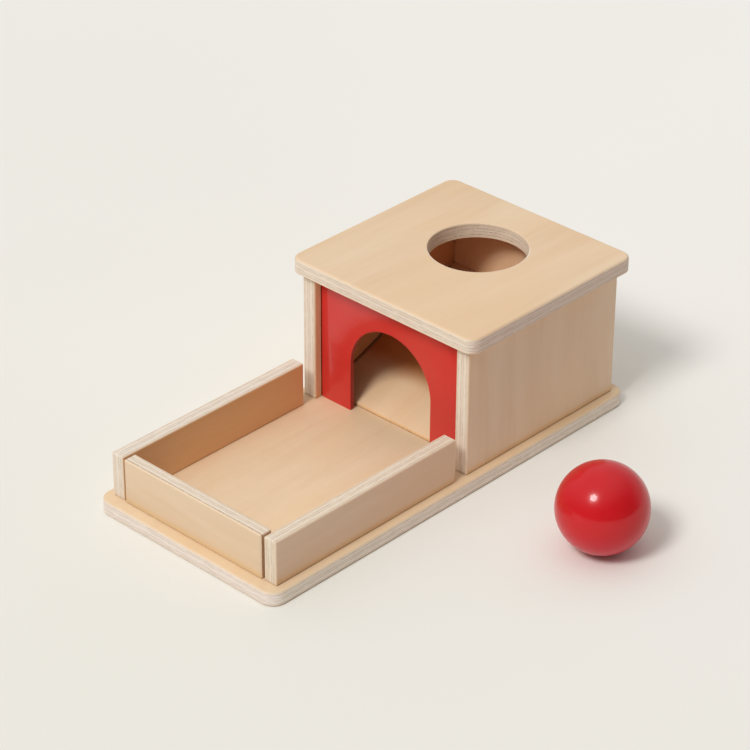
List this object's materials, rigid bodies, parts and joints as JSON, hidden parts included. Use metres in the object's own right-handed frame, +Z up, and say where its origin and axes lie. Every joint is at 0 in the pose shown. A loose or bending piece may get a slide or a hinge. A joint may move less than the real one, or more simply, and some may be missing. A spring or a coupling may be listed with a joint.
{
  "type": "object permanence box",
  "caption": "Wooden toddler toy: a ball dropped through a round hole rolls down a ramp, out of a red arched doorway and into a railed tray.",
  "frame": {"origin": "middle of the underside of the base board", "axes": "+Y from the tray towards the box along the base, +X to the right seen from the tray, +Z up"},
  "size_m": [0.2547, 0.295, 0.1007],
  "materials": {
    "plywood": "satin clear lacquer on light plywood, pale laminated edges",
    "plain_wood": "bare beech",
    "red_paint": "satin red paint on board",
    "red_lacquer": "glossy red lacquer on turned wood",
    "screw_steel": "zinc plated"
  },
  "bodies": {
    "box": {"base_board": "plywood", "left_wall": "plywood", "right_wall": "plywood", "back_wall": "plywood", "arch_panel": "red_paint", "top_board": "plywood", "ball_ramp": "plywood", "ramp_cleat": "plain_wood", "left_rail": "plywood", "right_rail": "plywood", "end_rail": "plywood", "box_screws": "screw_steel", "tray_screws": "screw_steel", "top_dowels": "plain_wood"},
    "ball": {"ball": "red_lacquer"}
  },
  "joints": [
    {"name": "ball_lift", "type": "slide", "parent": "box", "child": "ball", "axis": [0, 0, 1], "range_m": [0, 0.15]}
  ]
}
